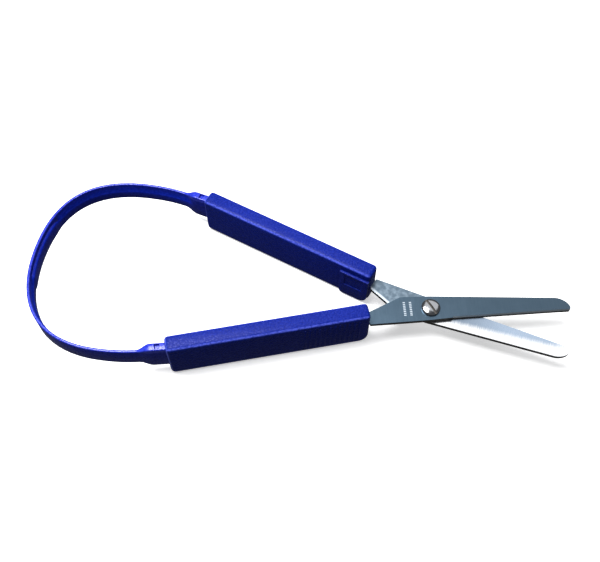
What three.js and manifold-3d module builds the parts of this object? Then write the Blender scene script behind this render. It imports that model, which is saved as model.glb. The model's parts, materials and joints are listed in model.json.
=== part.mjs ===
// Self-opening loop scissors: two steel blades on a screw pivot, two long grips,
// and a springy loop that joins the grips behind and opens the blades by itself.
// Millimetres, +Z up, +X from the loop to the blade tips. The pivot is the design origin;
// the finished group is moved so that its origin is the bottom centre of its box.

import * as THREE from 'three';
import { mergeVertices } from 'three/addons/utils/BufferGeometryUtils.js';
import Module from 'manifold-3d';

const wasm = await Module();
wasm.setup();

// ---------------------------------------------------------------- driving dimensions

// How the two halves stand at rest
const OPEN_HALF_ANGLE = THREE.MathUtils.degToRad(11.45); // each blade from the middle line
const GRIP_SPLAY = THREE.MathUtils.degToRad(8.5); // each grip from its own blade's axis

// Blades (stamped steel, blunt round ends)
const BLADE_REACH = 54; // pivot to tip
const BLADE_THICKNESS = 1.5;
const BLADE_GAP = 0.1; // running gap between the two blades
const SPINE_AT_PIVOT = 5.3; // pivot line to spine
const SPINE_AT_NOSE = 2.8;
const EDGE_AT_PIVOT = 4.8; // pivot line to cutting edge, carried back to the pivot
const EDGE_AT_NOSE = 3.0;
const EDGE_START = 8; // the ground edge begins this far ahead of the pivot
const NOSE_LENGTH = 5.5; // length of the rounded end
const NOSE_PULL = 0.55; // share of that length where the spine's curve still runs on
const NOSE_SPINE_FALL = 0.93; // share of the spine's height left at that place
const NOSE_SHOULDER = 0.1; // share of the spine's height where the end turns steep
const NOSE_TIP_DROP = 0.55; // share of the edge's depth where the nose reaches furthest
const NOSE_EDGE_BACK = 0.25; // share of the nose's length from the tip to the end of the edge
const NOSE_STEPS = 14;
const SHANK_AT_PIVOT = 5.2; // pivot line to the shank's outer side
const SPINE_BACK = 11.2; // the spine runs this far behind the pivot
const BEVEL_WIDTH = 0.45; // steep ground face beside the cutting edge
const BEVEL_LAND = 0.2; // steel left under the bevel

// Shanks, and the narrower tangs that run on inside the grips
const SHANK_AT_GRIP = 5.2; // width where the shank meets the grip
const TANG_TAPER = 0.4; // each side, from mouth to end
const TANG_DEPTH = 28;
const TANG_CLEARANCE = 0.3;
const TANG_WALL = 1.2; // grip wall beside the tang's socket

// Pivot screw and nut
const SCREW_RADIUS = 2;
const RUNNING_CLEARANCE = 0.06; // radial, screw in the blades and in the nut
const SEAT_GAP = 0.05; // between faces that rest on each other
const HEAD_RADIUS = 3.65;
const HEAD_RIM = 0.5;
const HEAD_DOME = 1.1;
const SLOT_WIDTH = 0.9;
const SLOT_DEPTH = 0.8;
const SLOT_ANGLE = THREE.MathUtils.degToRad(-51);
const NUT_RADIUS = 3.9;
const NUT_HEIGHT = 2.2;
const NUT_SIDES = 6;
const THREAD_END = 0.3; // screw end past the nut
const ROUND_STEPS = 48;
const DOME_STEPS = 8;

// Grips
const GRIP_LENGTH = 77;
const GRIP_WIDTH = 6.8;
const GRIP_HEIGHT = 18.6;
const GRIP_EDGE = 1.2; // rounding of every edge
const END_EDGE_SHARE = 0.8; // the rounding of the end faces is this much narrower than it is long
const FRONT_TOE = 4; // rounding of the lower front corner, seen from the side
const REAR_TOE = 2.2; // the same at the lower rear corner
const EDGE_STEPS = 4;
const TOE_STEPS = 6;
const GRIP_BACK = 24.5; // pivot to the grip's front end, along the blade's axis
const GRIP_ASIDE = 3.8; // grip's middle line off the blade's axis at its front end
const BLADE_PLANE = 10.1; // height of the plane where the blades meet

// Stop pad on each grip's inner face, and ribs on its outer face
const PAD_START = 0.8;
const PAD_LENGTH = 11.9;
const PAD_HEIGHT = 14.5;
const PAD_FLOOR = 0.7;
const PAD_PROUD = 0.95;
const RIB_START = 3.7;
const RIB_PITCH = 1.9;
const RIB_COUNT = 12;
const RIB_WIDTH = 0.9;
const RIB_HEIGHT = 14;
const RIB_PROUD = 0.3;
const SINK = 0.5; // how far an added pad or rib is set into its grip

// Loop spring
const LOOP_MIDDLE = 10.6; // height of the band's middle
const BAND_THICKNESS = 1.8;
const BAND_HEIGHT = 8.4;
const LOOP_BULGE = 4.2; // each side, wider than the grip ends
const LOOP_SHOULDER = 26.3; // grip end to the widest place
const LOOP_LENGTH = 62.6; // grip end to the back of the loop
const LOOP_SIDE_PULL = 10.1; // how far the curve runs straight ahead of each shoulder
const NECK_PULL_SHARE = 0.5; // how far it runs straight behind the neck, as a share of that
const LOOP_SHOULDER_PULL = 27.25; // how far the curve runs straight behind each shoulder
const LOOP_BACK_PULL = 21.25; // how far it runs straight beside the back of the loop
const LOOP_LEAN = 2.75; // the back of the loop rests this far towards the rear grip
const LOOP_STEPS = 24; // per curve
const NECK_TURN = THREE.MathUtils.degToRad(6.5); // neck turned in from the grip's axis
const NECK_THICKNESS = 3.2;
const NECK_HEIGHT = 12;
const NECK_LENGTH = 5.8; // outside the grip
const TENON_THICKNESS = 2.2; // the tenon is slimmer than the neck, which shoulders on the grip
const TENON_HEIGHT = 9;
const TENON_DEPTH = 8; // inside the grip
const TENON_CLEARANCE = 0.3;
const NOTCH_SIZE = 2.2; // square recess in the neck's upper side
const NOTCH_DEPTH = 1;
const NOTCH_BACK = 1.8; // grip end to the recess
const BACK_PAD_SHARE = 0.26; // share of each rear curve that is thicker inside
const BACK_PAD_PROUD = 0.4;
const BACK_PAD_RUN = 0.08; // share of the curve over which the thickness grows
const OVERSHOOT = 1; // how far a cutter runs past the solid it cuts

// ---------------------------------------------------------------- finishes

const BLUE = { color: 0x2a2f9c, roughness: 0.55, metalness: 0 };
const LOOP_BLUE = { color: 0x2a35b0, roughness: 0.4, metalness: 0 };
const STEEL = { color: 0x9aa3ad, roughness: 0.35, metalness: 1 };
const CHROME = { color: 0xd0d4d8, roughness: 0.15, metalness: 1 };

// ---------------------------------------------------------------- solid helpers

/** Turns a closed geometry into a solid that can be cut and joined. */
function toSolid(geometry) {
  const bare = geometry.index ? geometry.toNonIndexed() : geometry.clone();
  bare.deleteAttribute('normal');
  bare.deleteAttribute('uv');
  const merged = mergeVertices(bare, 1e-5);
  const vertProperties = new Float32Array(merged.attributes.position.array);
  const triVerts = new Uint32Array(merged.index.array);
  return new wasm.Manifold(new wasm.Mesh({ numProp: 3, vertProperties, triVerts }));
}

/** Turns a solid back into a geometry. */
function toGeometry(solid) {
  const mesh = solid.getMesh();
  const geometry = new THREE.BufferGeometry();
  geometry.setAttribute('position', new THREE.BufferAttribute(mesh.vertProperties, 3));
  geometry.setIndex(new THREE.BufferAttribute(mesh.triVerts, 1));
  geometry.computeVertexNormals();
  return geometry;
}

function named(name, geometry, finish) {
  const mesh = new THREE.Mesh(geometry, new THREE.MeshStandardMaterial(finish));
  mesh.name = name;
  return mesh;
}

function boxBetween(low, high) {
  const size = high.map((value, axis) => value - low[axis]);
  const box = new THREE.BoxGeometry(...size);
  box.translate(...low.map((value, axis) => value + size[axis] / 2));
  return box;
}

function diskAt(radius, low, high) {
  const disk = new THREE.CylinderGeometry(radius, radius, high - low, ROUND_STEPS);
  disk.rotateX(Math.PI / 2);
  disk.translate(0, 0, (low + high) / 2);
  return disk;
}

// ---------------------------------------------------------------- blades

const TANG_WIDTH = GRIP_WIDTH - 2 * (TANG_WALL + TANG_CLEARANCE);

/** A place in the grip's own frame (back from its mouth, inwards from its middle), in the blade's frame. */
function gripPlace(back, inwards) {
  const x = -GRIP_BACK - back * Math.cos(GRIP_SPLAY) - inwards * Math.sin(GRIP_SPLAY);
  const y = -GRIP_ASIDE - back * Math.sin(GRIP_SPLAY) + inwards * Math.cos(GRIP_SPLAY);
  return new THREE.Vector2(x, y);
}

/** Distance from the pivot line to the cutting edge at x. */
function edgeOffset(x) {
  const noseStart = BLADE_REACH - NOSE_LENGTH;
  return THREE.MathUtils.lerp(EDGE_AT_PIVOT, EDGE_AT_NOSE, x / noseStart);
}

/** Outline of a blade with its tang; side is 1 for the front blade and -1 for its mirror image. */
function bladeOutline(side) {
  const noseStart = BLADE_REACH - NOSE_LENGTH;
  const edgeEnd = BLADE_REACH - NOSE_LENGTH * NOSE_EDGE_BACK;
  const tangSide = TANG_WIDTH / 2;
  const shankAndTang = [
    gripPlace(-TANG_CLEARANCE, -SHANK_AT_GRIP / 2),
    gripPlace(-TANG_CLEARANCE, -tangSide),
    gripPlace(TANG_DEPTH, TANG_TAPER - tangSide),
    gripPlace(TANG_DEPTH, tangSide - TANG_TAPER),
    gripPlace(-TANG_CLEARANCE, tangSide),
    gripPlace(-TANG_CLEARANCE, SHANK_AT_GRIP / 2),
  ];
  const outline = new THREE.Shape();
  outline.moveTo(-SPINE_BACK, side * SPINE_AT_PIVOT);
  outline.lineTo(0, side * SPINE_AT_PIVOT);
  outline.lineTo(noseStart, side * SPINE_AT_NOSE);
  outline.bezierCurveTo(
    noseStart + NOSE_LENGTH * NOSE_PULL, side * SPINE_AT_NOSE * NOSE_SPINE_FALL,
    BLADE_REACH, side * SPINE_AT_NOSE * NOSE_SHOULDER,
    BLADE_REACH, -side * EDGE_AT_NOSE * NOSE_TIP_DROP,
  );
  outline.quadraticCurveTo(BLADE_REACH, -side * EDGE_AT_NOSE, edgeEnd, -side * EDGE_AT_NOSE);
  outline.lineTo(noseStart, -side * EDGE_AT_NOSE);
  outline.lineTo(EDGE_START, -side * edgeOffset(EDGE_START));
  outline.lineTo(0, -side * SHANK_AT_PIVOT);
  for (const corner of shankAndTang) {
    outline.lineTo(corner.x, side * corner.y);
  }
  outline.closePath();
  return outline;
}

/** Wedge that grinds the bevel beside the cutting edge, on the blade's outer face. */
function bevelCutter(side) {
  const slope = (BLADE_THICKNESS - BEVEL_LAND) / BEVEL_WIDTH;
  const section = new THREE.Shape([
    new THREE.Vector2(-OVERSHOOT, BEVEL_LAND - slope * OVERSHOOT),
    new THREE.Vector2(BEVEL_WIDTH + OVERSHOOT / slope, BLADE_THICKNESS + OVERSHOOT),
    new THREE.Vector2(-OVERSHOOT, BLADE_THICKNESS + OVERSHOOT),
  ]);
  const start = new THREE.Vector2(EDGE_START, -edgeOffset(EDGE_START));
  const end = new THREE.Vector2(BLADE_REACH - NOSE_LENGTH, -EDGE_AT_NOSE);
  const run = end.clone().sub(start);
  const wedge = new THREE.ExtrudeGeometry(section, { depth: BLADE_REACH, bevelEnabled: false });
  wedge.rotateX(Math.PI / 2);
  wedge.rotateZ(Math.PI / 2);
  wedge.rotateZ(run.angle());
  wedge.translate(start.x, start.y, 0);
  if (side < 0) {
    wedge.rotateX(Math.PI);
    wedge.translate(0, 0, BLADE_THICKNESS);
  }
  return wedge;
}

function bladeGeometry(side) {
  const plate = new THREE.ExtrudeGeometry(bladeOutline(side), {
    depth: BLADE_THICKNESS,
    bevelEnabled: false,
    curveSegments: NOSE_STEPS,
  });
  const hole = diskAt(SCREW_RADIUS + RUNNING_CLEARANCE, -OVERSHOOT, BLADE_THICKNESS + OVERSHOOT);
  const blade = toSolid(plate).subtract(toSolid(bevelCutter(side))).subtract(toSolid(hole));
  return toGeometry(blade);
}

const FRONT_BLADE_FLOOR = BLADE_PLANE + BLADE_GAP / 2;
const REAR_BLADE_FLOOR = BLADE_PLANE - BLADE_GAP / 2 - BLADE_THICKNESS;

// ---------------------------------------------------------------- pivot screw and nut

const HEAD_SEAT = FRONT_BLADE_FLOOR + BLADE_THICKNESS + SEAT_GAP;
const NUT_TOP = REAR_BLADE_FLOOR - SEAT_GAP;

function screwGeometry() {
  const rimTop = HEAD_SEAT + HEAD_RIM;
  const profile = [
    new THREE.Vector2(0, NUT_TOP - NUT_HEIGHT - THREAD_END),
    new THREE.Vector2(SCREW_RADIUS, NUT_TOP - NUT_HEIGHT - THREAD_END),
    new THREE.Vector2(SCREW_RADIUS, HEAD_SEAT),
    new THREE.Vector2(HEAD_RADIUS, HEAD_SEAT),
  ];
  for (let step = 0; step < DOME_STEPS; step += 1) {
    const angle = (step / DOME_STEPS) * (Math.PI / 2);
    profile.push(new THREE.Vector2(HEAD_RADIUS * Math.cos(angle), rimTop + HEAD_DOME * Math.sin(angle)));
  }
  profile.push(new THREE.Vector2(0, rimTop + HEAD_DOME));
  const body = new THREE.LatheGeometry(profile, ROUND_STEPS);
  body.rotateX(Math.PI / 2);
  const slotFloor = rimTop + HEAD_DOME - SLOT_DEPTH;
  const slot = boxBetween(
    [-HEAD_RADIUS - OVERSHOOT, -SLOT_WIDTH / 2, slotFloor],
    [HEAD_RADIUS + OVERSHOOT, SLOT_WIDTH / 2, rimTop + HEAD_DOME + OVERSHOOT],
  );
  slot.rotateZ(SLOT_ANGLE);
  return toGeometry(toSolid(body).subtract(toSolid(slot)));
}

function nutGeometry() {
  const body = new THREE.CylinderGeometry(NUT_RADIUS, NUT_RADIUS, NUT_HEIGHT, NUT_SIDES);
  body.rotateX(Math.PI / 2);
  body.translate(0, 0, NUT_TOP - NUT_HEIGHT / 2);
  const holeRadius = SCREW_RADIUS + RUNNING_CLEARANCE;
  const hole = diskAt(holeRadius, NUT_TOP - NUT_HEIGHT - OVERSHOOT, NUT_TOP + OVERSHOOT);
  return toGeometry(toSolid(body).subtract(toSolid(hole)));
}

// ---------------------------------------------------------------- grips

/** A bar with rounded edges, running from x = 0 back to x = -length, resting on z = 0. */
function roundedBar(length, width, height, edge) {
  const high = height / 2;
  const wide = width / 2;
  const section = new THREE.Shape();
  section.moveTo(-high + edge, -wide);
  section.lineTo(high - edge, -wide);
  section.absarc(high - edge, -wide + edge, edge, -Math.PI / 2, 0, false);
  section.lineTo(high, wide - edge);
  section.absarc(high - edge, wide - edge, edge, 0, Math.PI / 2, false);
  section.lineTo(-high + edge, wide);
  section.absarc(-high + edge, wide - edge, edge, Math.PI / 2, Math.PI, false);
  section.lineTo(-high, -wide + edge);
  section.absarc(-high + edge, -wide + edge, edge, Math.PI, Math.PI * 1.5, false);
  const bar = new THREE.ExtrudeGeometry(section, {
    depth: length - 2 * edge,
    bevelEnabled: true,
    bevelThickness: edge,
    bevelSize: edge * END_EDGE_SHARE,
    bevelOffset: -edge * END_EDGE_SHARE,
    bevelSegments: EDGE_STEPS,
    curveSegments: EDGE_STEPS,
  });
  bar.translate(0, 0, edge);
  bar.rotateY(-Math.PI / 2);
  bar.translate(0, 0, high);
  return bar;
}

/** The tang's socket, open at the grip's front end. */
function tangSocket(bladeFloor) {
  const wide = TANG_WIDTH / 2 + TANG_CLEARANCE;
  return boxBetween(
    [-TANG_DEPTH - TANG_CLEARANCE, -wide, bladeFloor - TANG_CLEARANCE],
    [OVERSHOOT, wide, bladeFloor + BLADE_THICKNESS + TANG_CLEARANCE],
  );
}

/** The tenon's socket, open at the grip's rear end and turned in like the neck. */
function tenonSocket(side) {
  const wide = TENON_THICKNESS / 2 + TENON_CLEARANCE;
  const tall = TENON_HEIGHT / 2 + TENON_CLEARANCE;
  const socket = boxBetween(
    [-NECK_LENGTH, -wide, LOOP_MIDDLE - tall],
    [TENON_DEPTH + TENON_CLEARANCE, wide, LOOP_MIDDLE + tall],
  );
  socket.rotateZ(-side * NECK_TURN);
  socket.translate(-GRIP_LENGTH, 0, 0);
  return socket;
}

/** A block wider than the grip with the grip's outline seen from the side: well rounded lower corners. */
function sideProfile() {
  const outline = new THREE.Shape();
  outline.moveTo(0, GRIP_HEIGHT);
  outline.lineTo(-GRIP_LENGTH, GRIP_HEIGHT);
  outline.lineTo(-GRIP_LENGTH, REAR_TOE);
  outline.absarc(-GRIP_LENGTH + REAR_TOE, REAR_TOE, REAR_TOE, Math.PI, Math.PI * 1.5, false);
  outline.lineTo(-FRONT_TOE, 0);
  outline.absarc(-FRONT_TOE, FRONT_TOE, FRONT_TOE, Math.PI * 1.5, Math.PI * 2, false);
  const block = new THREE.ExtrudeGeometry(outline, {
    depth: 2 * GRIP_WIDTH,
    bevelEnabled: false,
    curveSegments: TOE_STEPS,
  });
  block.translate(0, 0, -GRIP_WIDTH);
  block.rotateX(Math.PI / 2);
  return block;
}

function stopPad(side) {
  const face = GRIP_WIDTH / 2;
  const ys = [side * (face - SINK), side * (face + PAD_PROUD)].sort((a, b) => a - b);
  return boxBetween(
    [-PAD_START - PAD_LENGTH, ys[0], PAD_FLOOR],
    [-PAD_START, ys[1], PAD_FLOOR + PAD_HEIGHT],
  );
}

function rib(side, index) {
  const face = GRIP_WIDTH / 2;
  const ys = [-side * (face - SINK), -side * (face + RIB_PROUD)].sort((a, b) => a - b);
  const front = -RIB_START - index * RIB_PITCH;
  const middle = GRIP_HEIGHT / 2;
  return boxBetween(
    [front - RIB_WIDTH, ys[0], middle - RIB_HEIGHT / 2],
    [front, ys[1], middle + RIB_HEIGHT / 2],
  );
}

function gripGeometry(side, bladeFloor) {
  let grip = toSolid(roundedBar(GRIP_LENGTH, GRIP_WIDTH, GRIP_HEIGHT, GRIP_EDGE));
  grip = grip.add(toSolid(stopPad(side)));
  for (let index = 0; index < RIB_COUNT; index += 1) {
    grip = grip.add(toSolid(rib(side, index)));
  }
  grip = grip.intersect(toSolid(sideProfile()));
  grip = grip.subtract(toSolid(tangSocket(bladeFloor)));
  grip = grip.subtract(toSolid(tenonSocket(side)));
  return toGeometry(grip);
}

// ---------------------------------------------------------------- halves

/** One half: its blade and its grip, turned open about the pivot. Side 1 is the front half. */
function half(side, bladeName, gripName) {
  const bladeFloor = side > 0 ? FRONT_BLADE_FLOOR : REAR_BLADE_FLOOR;
  const group = new THREE.Group();
  const blade = named(bladeName, bladeGeometry(side), STEEL);
  blade.position.z = bladeFloor;
  const grip = named(gripName, gripGeometry(side, bladeFloor), BLUE);
  grip.position.set(-GRIP_BACK, -side * GRIP_ASIDE, 0);
  grip.rotation.z = side * GRIP_SPLAY;
  group.add(blade, grip);
  group.rotation.z = side * OPEN_HALF_ANGLE;
  return group;
}

// ---------------------------------------------------------------- loop spring

const NECK_ANGLE = OPEN_HALF_ANGLE + GRIP_SPLAY - NECK_TURN;

/** The turned neck stops this far short of the grip's end, so that its corner clears the end face. */
const NECK_SHOULDER = TENON_CLEARANCE + (NECK_THICKNESS / 2) * Math.tan(NECK_TURN);

/** Middle of the front grip's rear end, in the design frame. */
function gripEnd() {
  return gripPlace(GRIP_LENGTH, 0).rotateAround(new THREE.Vector2(), OPEN_HALF_ANGLE);
}

/** The band's middle line from the end of a neck to the back of the loop, drawn on the front side. */
function sideCurves(lean) {
  const end = gripEnd();
  const outwards = new THREE.Vector2(-Math.cos(NECK_ANGLE), -Math.sin(NECK_ANGLE));
  const neck = end.clone().addScaledVector(outwards, NECK_LENGTH);
  const shoulder = new THREE.Vector2(end.x - LOOP_SHOULDER, end.y - LOOP_BULGE);
  const back = new THREE.Vector2(end.x - LOOP_LENGTH, lean);
  const side = new THREE.CubicBezierCurve(
    neck,
    neck.clone().addScaledVector(outwards, LOOP_SIDE_PULL * NECK_PULL_SHARE),
    shoulder.clone().add(new THREE.Vector2(LOOP_SIDE_PULL, 0)),
    shoulder,
  );
  const rear = new THREE.CubicBezierCurve(
    shoulder,
    shoulder.clone().add(new THREE.Vector2(-LOOP_SHOULDER_PULL, 0)),
    back.clone().add(new THREE.Vector2(0, -LOOP_BACK_PULL)),
    back,
  );
  return { side, rear };
}

/** Points beside the middle line: outwards for a positive distance, inwards for a negative one. */
function besideLine(lean, distanceAt) {
  const { side, rear } = sideCurves(lean);
  const points = [];
  for (const curve of [side, rear]) {
    const first = curve === side ? 0 : 1;
    for (let step = first; step <= LOOP_STEPS; step += 1) {
      const t = step / LOOP_STEPS;
      const along = curve.getTangent(t);
      const distance = distanceAt(curve === rear ? t : 0);
      const place = curve.getPoint(t);
      points.push(new THREE.Vector2(place.x - along.y * distance, place.y + along.x * distance));
    }
  }
  return points;
}

function mirrored(points) {
  return points.map((point) => new THREE.Vector2(point.x, -point.y)).reverse();
}

/** How thick the band is on its inner side: it swells into a pad at the back. */
function innerDistance(t) {
  const start = 1 - BACK_PAD_SHARE;
  const swell = THREE.MathUtils.smoothstep(t, start - BACK_PAD_RUN, start);
  return -BAND_THICKNESS / 2 - BACK_PAD_PROUD * swell;
}

function bandGeometry() {
  const edgeLine = (distanceAt) => [
    ...besideLine(LOOP_LEAN, distanceAt),
    ...mirrored(besideLine(-LOOP_LEAN, distanceAt)).slice(1),
  ];
  const outside = edgeLine(() => BAND_THICKNESS / 2);
  const inside = edgeLine(innerDistance);
  const outline = new THREE.Shape([...outside, ...inside.reverse()]);
  const band = new THREE.ExtrudeGeometry(outline, { depth: BAND_HEIGHT, bevelEnabled: false });
  band.translate(0, 0, LOOP_MIDDLE - BAND_HEIGHT / 2);
  return band;
}

/** Neck with its tenon, and the square recess in the neck's upper side. */
function neckSolid(side) {
  const bar = boxBetween(
    [-NECK_LENGTH - OVERSHOOT, -NECK_THICKNESS / 2, LOOP_MIDDLE - NECK_HEIGHT / 2],
    [-NECK_SHOULDER, NECK_THICKNESS / 2, LOOP_MIDDLE + NECK_HEIGHT / 2],
  );
  const tenon = boxBetween(
    [-NECK_LENGTH / 2, -TENON_THICKNESS / 2, LOOP_MIDDLE - TENON_HEIGHT / 2],
    [TENON_DEPTH, TENON_THICKNESS / 2, LOOP_MIDDLE + TENON_HEIGHT / 2],
  );
  const top = LOOP_MIDDLE + NECK_HEIGHT / 2;
  const notch = boxBetween(
    [-NOTCH_BACK - NOTCH_SIZE, -NOTCH_SIZE / 2, top - NOTCH_DEPTH],
    [-NOTCH_BACK, NOTCH_SIZE / 2, top + OVERSHOOT],
  );
  const end = gripEnd();
  for (const piece of [bar, tenon, notch]) {
    piece.rotateZ(side * NECK_ANGLE);
    piece.translate(end.x, side * end.y, 0);
  }
  return toSolid(bar).add(toSolid(tenon)).subtract(toSolid(notch));
}

function loopGeometry() {
  return toGeometry(toSolid(bandGeometry()).add(neckSolid(1)).add(neckSolid(-1)));
}

// ---------------------------------------------------------------- assembly

const scissors = new THREE.Group();
scissors.add(
  half(1, 'front_blade', 'front_grip'),
  half(-1, 'rear_blade', 'rear_grip'),
  named('pivot_screw', screwGeometry(), CHROME),
  named('pivot_nut', nutGeometry(), STEEL),
  named('loop_spring', loopGeometry(), LOOP_BLUE),
);

scissors.updateMatrixWorld(true);
const box = new THREE.Box3().setFromObject(scissors, true);
const middle = box.getCenter(new THREE.Vector3());
scissors.position.set(-middle.x, -middle.y, -box.min.z);

export default scissors;
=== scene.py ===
"""Self-opening loop scissors: blue moulded grips, a springy loop, blunt steel blades and a pivot screw.

Everything is in metres, +Z up, +X from the loop to the blade tips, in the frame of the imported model.
"""

import json
import logging
import math
from collections.abc import Iterable
from dataclasses import dataclass, field
from enum import Enum

import bmesh
import bpy
from mathutils import Matrix, Vector
from mathutils.geometry import interpolate_bezier

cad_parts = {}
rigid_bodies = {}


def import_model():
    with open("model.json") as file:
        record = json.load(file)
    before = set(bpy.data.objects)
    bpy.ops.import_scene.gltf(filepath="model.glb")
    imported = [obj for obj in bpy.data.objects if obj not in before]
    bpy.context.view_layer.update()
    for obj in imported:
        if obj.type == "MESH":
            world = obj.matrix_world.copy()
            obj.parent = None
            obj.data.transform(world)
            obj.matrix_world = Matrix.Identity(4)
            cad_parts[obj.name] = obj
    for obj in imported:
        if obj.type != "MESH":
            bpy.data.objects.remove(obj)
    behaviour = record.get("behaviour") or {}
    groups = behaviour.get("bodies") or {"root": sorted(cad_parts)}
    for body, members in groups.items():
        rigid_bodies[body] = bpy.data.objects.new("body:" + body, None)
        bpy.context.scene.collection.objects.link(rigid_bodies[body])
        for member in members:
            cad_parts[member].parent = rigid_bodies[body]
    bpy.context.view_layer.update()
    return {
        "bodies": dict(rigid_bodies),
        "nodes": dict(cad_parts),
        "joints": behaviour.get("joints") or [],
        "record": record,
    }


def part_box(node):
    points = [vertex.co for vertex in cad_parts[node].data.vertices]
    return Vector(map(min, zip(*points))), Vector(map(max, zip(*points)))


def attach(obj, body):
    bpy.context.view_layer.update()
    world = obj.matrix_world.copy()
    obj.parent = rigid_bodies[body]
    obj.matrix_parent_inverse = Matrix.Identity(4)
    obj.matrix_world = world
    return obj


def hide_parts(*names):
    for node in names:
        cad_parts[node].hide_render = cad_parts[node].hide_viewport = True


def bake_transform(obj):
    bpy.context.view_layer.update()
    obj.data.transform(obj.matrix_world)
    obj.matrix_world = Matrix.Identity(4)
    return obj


LOG = logging.getLogger("scissors")
MM = 0.001
REAR_BODY = "rear_half"
FRONT_BODY = "front_half"

Colour = tuple[float, float, float]
Stretch = tuple[float, float, float]
Span = tuple[float, float]


class Half(Enum):
    """The two halves of the scissors; the value is the side of the middle line its blade's tip lies on."""

    FRONT = 1
    REAR = -1

    @property
    def body(self) -> str:
        """Name of the body that the half moves with."""
        return FRONT_BODY if self is Half.FRONT else REAR_BODY

    @property
    def label(self) -> str:
        """The half's name as pieces use it."""
        return self.name.lower()


# ---------------------------------------------------------------- shader building


class Wire:
    """One value in a node tree. Python operators on it add Math nodes."""

    def __init__(self, graph: "Graph", socket: bpy.types.NodeSocket) -> None:
        """Keep the tree and the output socket."""
        self.graph = graph
        self.socket = socket

    def _math(self, operation: str, first: "Wire | float", second: "Wire | float") -> "Wire":
        """Add a Math node.

        Args:
            operation: the Math node's operation.
            first: first operand.
            second: second operand.

        Returns:
            The node's result.
        """
        return self.graph.wire("ShaderNodeMath", {"operation": operation}, {0: first, 1: second})

    def __add__(self, other: "Wire | float") -> "Wire":
        """Sum."""
        return self._math("ADD", self, other)

    __radd__ = __add__

    def __sub__(self, other: "Wire | float") -> "Wire":
        """Difference."""
        return self._math("SUBTRACT", self, other)

    def __rsub__(self, other: "Wire | float") -> "Wire":
        """Difference, the other way round."""
        return self._math("SUBTRACT", other, self)

    def __mul__(self, other: "Wire | float") -> "Wire":
        """Product."""
        return self._math("MULTIPLY", self, other)

    __rmul__ = __mul__

    def clamped(self) -> "Wire":
        """Kept between 0 and 1."""
        return self.graph.wire("ShaderNodeClamp", None, {0: self})

    def absolute(self) -> "Wire":
        """Size without sign."""
        return self._math("ABSOLUTE", self, 0.0)

    def wrapped(self, period: float) -> "Wire":
        """Place within a repeating period, from 0 to the period."""
        return self._math("FLOORED_MODULO", self, period)

    def ramp(self, low: float, high: float) -> "Wire":
        """Rise smoothly from 0 at low to 1 at high."""
        settings = {"interpolation_type": "SMOOTHSTEP"}
        ends = {"Value": self, "From Min": low, "From Max": high}
        return self.graph.wire("ShaderNodeMapRange", settings, ends)


class Graph:
    """A material under construction."""

    def __init__(self, name: str) -> None:
        """Start an empty material of that name."""
        self.material = bpy.data.materials.new(name)
        self.material.use_nodes = True
        self.tree = self.material.node_tree
        self.tree.nodes.clear()

    def node(self, kind: str, settings: dict | None = None, sockets: dict | None = None) -> bpy.types.Node:
        """Add a node.

        Args:
            kind: the node's type.
            settings: properties, set first; "stops" fills a colour ramp.
            sockets: input name or number to a value or a Wire.

        Returns:
            The new node.
        """
        made = self.tree.nodes.new(kind)
        for key, value in (settings or {}).items():
            if key == "stops":
                self._fill_ramp(made.color_ramp, value)
            else:
                setattr(made, key, value)
        for key, value in (sockets or {}).items():
            if isinstance(value, Wire):
                self.tree.links.new(value.socket, made.inputs[key])
            else:
                made.inputs[key].default_value = value
        return made

    def wire(
        self, kind: str, settings: dict | None = None, sockets: dict | None = None, out: str | int = 0
    ) -> Wire:
        """Add a node and return one of its outputs."""
        return Wire(self, self.node(kind, settings, sockets).outputs[out])

    @staticmethod
    def _fill_ramp(ramp: bpy.types.ColorRamp, stops: list[tuple[float, Colour]]) -> None:
        """Put the given stops on a colour ramp."""
        while len(ramp.elements) < len(stops):
            ramp.elements.new(0.5)
        for element, (place, colour) in zip(ramp.elements, stops):
            element.position = place
            element.color = (*colour, 1.0)

    def place(self, turn: float = 0.0, centre: Vector | None = None) -> Wire:
        """Object coordinates, moved so that centre is the origin and turned about Z."""
        coordinates = self.wire("ShaderNodeTexCoord", out="Object")
        ends = {0: coordinates, 1: centre or Vector()}
        moved = self.wire("ShaderNodeVectorMath", {"operation": "SUBTRACT"}, ends)
        return self.wire("ShaderNodeMapping", None, {"Vector": moved, "Rotation": (0.0, 0.0, turn)})

    def axis(self, vector: Wire, name: str) -> Wire:
        """One component of a vector."""
        return self.wire("ShaderNodeSeparateXYZ", None, {0: vector}, out=name)

    def noise(self, vector: Wire, size: float, detail: float = 2.0, stretch: Stretch = (1, 1, 1)) -> Wire:
        """Noise from 0 to 1 with features of about the given size in metres."""
        scaled = self.wire("ShaderNodeVectorMath", {"operation": "MULTIPLY"}, {0: vector, 1: stretch})
        sockets = {"Vector": scaled, "Scale": 1 / size, "Detail": detail}
        return self.wire("ShaderNodeTexNoise", None, sockets)

    def mix(self, factor: Wire, first: "Wire | Colour", second: "Wire | Colour") -> Wire:
        """Blend two colours."""
        ends = [(*end, 1.0) if isinstance(end, tuple) else end for end in (first, second)]
        settings = {"data_type": "RGBA"}
        return self.wire("ShaderNodeMix", settings, {0: factor, 6: ends[0], 7: ends[1]}, out=2)

    def bump(self, height: Wire, depth: float, strength: float = 1.0) -> Wire:
        """Normal from a height of 0 to 1, depth metres deep."""
        sockets = {"Height": height, "Distance": depth, "Strength": strength}
        return self.wire("ShaderNodeBump", None, sockets)

    def surface(self, sockets: dict) -> bpy.types.Material:
        """Close the material with a principled surface and return it."""
        shader = self.wire("ShaderNodeBsdfPrincipled", None, sockets)
        self.node("ShaderNodeOutputMaterial", None, {"Surface": shader})
        return self.material


# ---------------------------------------------------------------- finishes


# Near-black metal tone: painted shade, for the blade rims, the screw's slot and the lower half of the
# front blade's bevel.
PAINTED_SHADE_DARK: Colour = (0.09, 0.085, 0.08)
TICK_BRIGHT: Colour = (0.5, 0.56, 0.62)


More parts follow.
